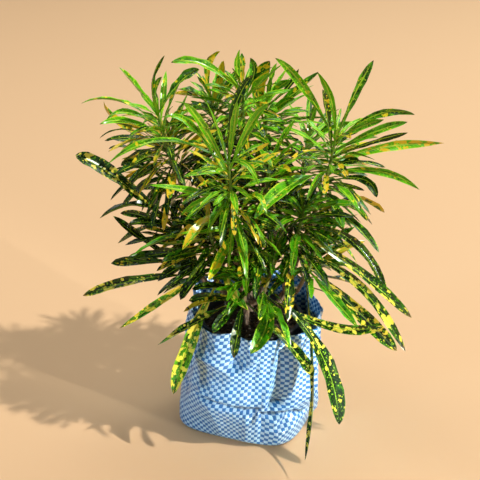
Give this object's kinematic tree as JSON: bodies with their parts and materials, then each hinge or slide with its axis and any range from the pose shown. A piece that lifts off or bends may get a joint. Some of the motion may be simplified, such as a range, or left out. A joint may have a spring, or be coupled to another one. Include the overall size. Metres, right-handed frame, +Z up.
{
  "type": "potted croton",
  "caption": "Leafy croton with long, arching, yellow-spotted leaves on woody canes, growing in a nursery pot inside a soft bag of blue and white checked woven plastic.",
  "frame": {"origin": "middle of the bag's flat underside, on the surface that it stands on", "axes": "+Z up along the plant, -Y towards the front, where the bag's rim is lowest, +X to the right as seen from the front"},
  "size_m": [0.404, 0.3159, 0.457],
  "materials": {
    "woven_plastic": "blue and white checked weave of flat plastic tapes under a thin clear film",
    "pot_plastic": "thin black moulded plastic with a slight sheen",
    "soil": "moist dark potting mix with bark chips",
    "bark": "pale brown bark with leaf scars",
    "fresh_leaf": "glossy bright green leaf with yellow midrib, margins and blotches",
    "old_leaf": "glossy dark green leaf with yellow blotches and spots"
  },
  "bodies": {
    "root": {"woven_bag": "woven_plastic", "nursery_pot": "pot_plastic", "soil": "soil", "cane_left": "bark", "cane_front": "bark", "cane_right": "bark", "cane_middle": "bark", "cane_back": "bark", "shoot_left_top": "fresh_leaf", "shoot_left_back": "fresh_leaf", "shoot_left_low": "old_leaf", "shoot_left_front": "old_leaf", "shoot_front_top": "fresh_leaf", "shoot_front_low": "old_leaf", "shoot_front_mid": "old_leaf", "shoot_right_top": "fresh_leaf", "shoot_right_mid": "old_leaf", "shoot_right_low": "old_leaf", "shoot_middle": "fresh_leaf", "shoot_middle_low": "old_leaf", "shoot_top": "fresh_leaf", "shoot_top_left": "fresh_leaf", "shoot_top_right": "fresh_leaf", "shoot_right_back": "fresh_leaf", "shoot_back": "fresh_leaf", "shoot_back_low": "old_leaf", "shoot_back_left": "old_leaf"}
  },
  "joints": []
}
